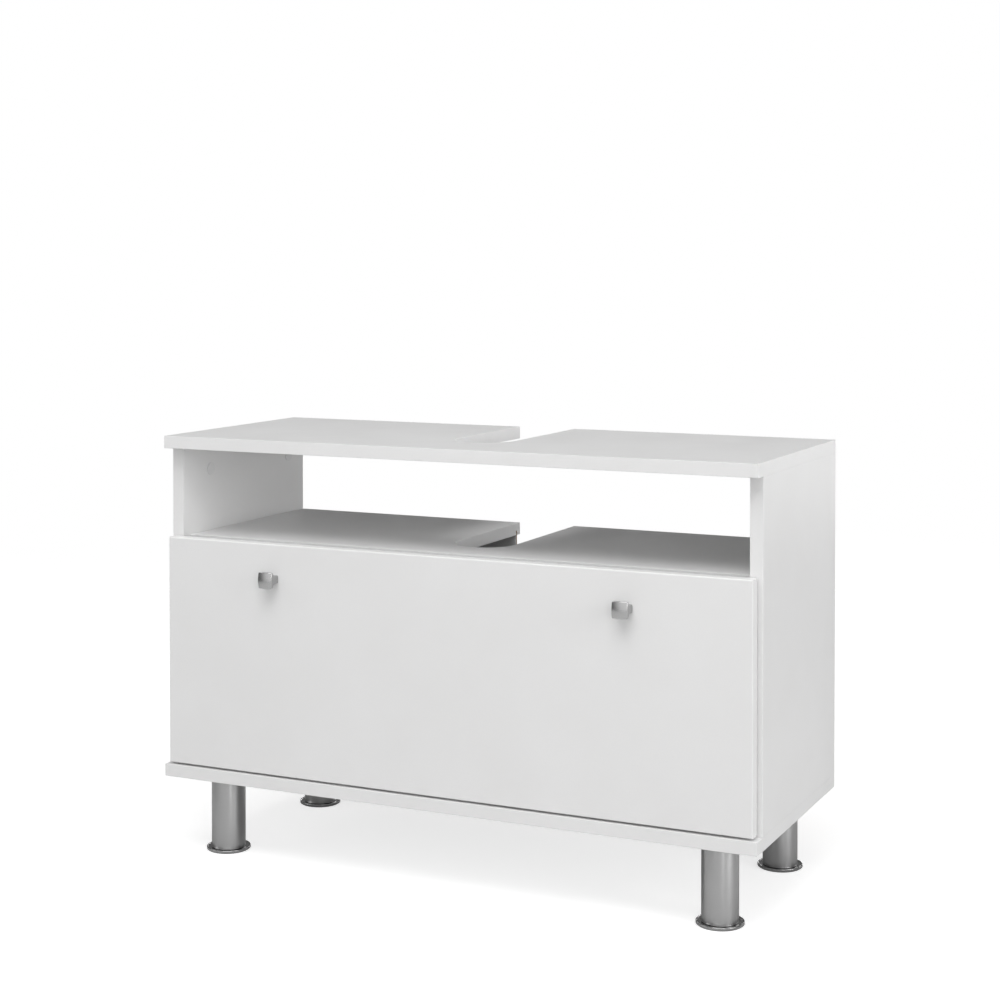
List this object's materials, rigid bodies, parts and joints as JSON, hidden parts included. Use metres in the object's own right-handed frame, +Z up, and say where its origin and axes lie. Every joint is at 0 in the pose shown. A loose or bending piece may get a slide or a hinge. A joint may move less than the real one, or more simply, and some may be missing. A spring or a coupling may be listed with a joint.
{
  "type": "bathroom vanity cabinet",
  "caption": "White washbasin base cabinet with U-shaped pipe cut-outs, an open compartment above a drop-down flap with knobs, and round metal levelling legs.",
  "frame": {"origin": "on the floor, at the middle of the object's overall box in X and Y", "axes": "+Z up, -Y to the front where the flap and knobs are, +X to the right as seen from the front"},
  "size_m": [0.8, 0.336, 0.543],
  "materials": {
    "white_laminate": "satin melamine",
    "hardboard": "satin lacquer",
    "white_front": "satin foil",
    "satin_nickel": "satin",
    "nickel_steel": "satin",
    "steel_pins": "satin",
    "zinc_screws": "satin",
    "zinc_castings": "matt",
    "white_plastic": "satin",
    "ferrite": "matt",
    "clear_rubber": "satin",
    "beech": "matt",
    "satin_steel_tube": "satin",
    "grey_plastic": "matt",
    "black_plastic": "matt"
  },
  "bodies": {
    "cabinet": {"top_board": "white_laminate", "bottom_board": "white_laminate", "left_side_panel": "white_laminate", "right_side_panel": "white_laminate", "shelf_board": "white_laminate", "back_panel": "hardboard", "left_hinge_arm": "nickel_steel", "right_hinge_arm": "nickel_steel", "left_hinge_plate": "nickel_steel", "right_hinge_plate": "nickel_steel", "stay_studs": "steel_pins", "hinge_plate_screws": "zinc_screws", "hinge_arm_screws": "zinc_screws", "catch_screws": "zinc_screws", "cam_bolts": "zinc_screws", "leg_screws": "zinc_screws", "cam_housings": "zinc_castings", "leg_plate_front_left": "zinc_castings", "leg_plate_front_right": "zinc_castings", "leg_plate_back_left": "zinc_castings", "leg_plate_back_right": "zinc_castings", "left_catch_housing": "white_plastic", "right_catch_housing": "white_plastic", "cam_caps": "white_plastic", "catch_magnets": "ferrite", "dowels": "beech", "leg_tube_front_left": "satin_steel_tube", "leg_tube_front_right": "satin_steel_tube", "leg_tube_back_left": "satin_steel_tube", "leg_tube_back_right": "satin_steel_tube", "leg_bush_front_left": "grey_plastic", "leg_bush_front_right": "grey_plastic", "leg_bush_back_left": "grey_plastic", "leg_bush_back_right": "grey_plastic"},
    "flap": {"flap_panel": "white_front", "left_knob": "satin_nickel", "right_knob": "satin_nickel", "knob_screws": "zinc_screws", "left_hinge_cup": "nickel_steel", "right_hinge_cup": "nickel_steel", "hinge_pins": "steel_pins", "hinge_cup_screws": "zinc_screws", "left_stay_bracket": "nickel_steel", "right_stay_bracket": "nickel_steel", "stay_rivets": "steel_pins", "stay_bracket_screws": "zinc_screws", "strike_plates": "nickel_steel", "strike_screws": "zinc_screws", "flap_bumpers": "clear_rubber"},
    "left_stay": {"left_stay_bar": "nickel_steel"},
    "right_stay": {"right_stay_bar": "nickel_steel"},
    "levelling_foot_front_left": {"foot_front_left": "satin_steel_tube", "foot_pad_front_left": "black_plastic"},
    "levelling_foot_front_right": {"foot_front_right": "satin_steel_tube", "foot_pad_front_right": "black_plastic"},
    "levelling_foot_back_left": {"foot_back_left": "satin_steel_tube", "foot_pad_back_left": "black_plastic"},
    "levelling_foot_back_right": {"foot_back_right": "satin_steel_tube", "foot_pad_back_right": "black_plastic"}
  },
  "joints": [
    {"name": "flap_hinge", "type": "hinge", "parent": "cabinet", "child": "flap", "pos_m": [0, -0.1445, 0.1255], "axis": [1, 0, 0], "range_deg": [0, 90]},
    {"name": "left_stay_swing", "type": "hinge", "parent": "flap", "child": "left_stay", "pos_m": [-0.3763, -0.126, 0.2255], "axis": [1, 0, 0], "range_deg": [-45, 0]},
    {"name": "right_stay_swing", "type": "hinge", "parent": "flap", "child": "right_stay", "pos_m": [0.3763, -0.126, 0.2255], "axis": [1, 0, 0], "range_deg": [-45, 0]},
    {"name": "foot_level_front_left", "type": "slide", "parent": "cabinet", "child": "levelling_foot_front_left", "axis": [0, 0, 1], "range_m": [-0.012, 0]},
    {"name": "foot_level_front_right", "type": "slide", "parent": "cabinet", "child": "levelling_foot_front_right", "axis": [0, 0, 1], "range_m": [-0.012, 0]},
    {"name": "foot_level_back_left", "type": "slide", "parent": "cabinet", "child": "levelling_foot_back_left", "axis": [0, 0, 1], "range_m": [-0.012, 0]},
    {"name": "foot_level_back_right", "type": "slide", "parent": "cabinet", "child": "levelling_foot_back_right", "axis": [0, 0, 1], "range_m": [-0.012, 0]}
  ],
  "couplings": [
    {"joint": "left_stay_swing", "follows": "flap_hinge", "ratio": -0.5},
    {"joint": "right_stay_swing", "follows": "flap_hinge", "ratio": -0.5}
  ]
}
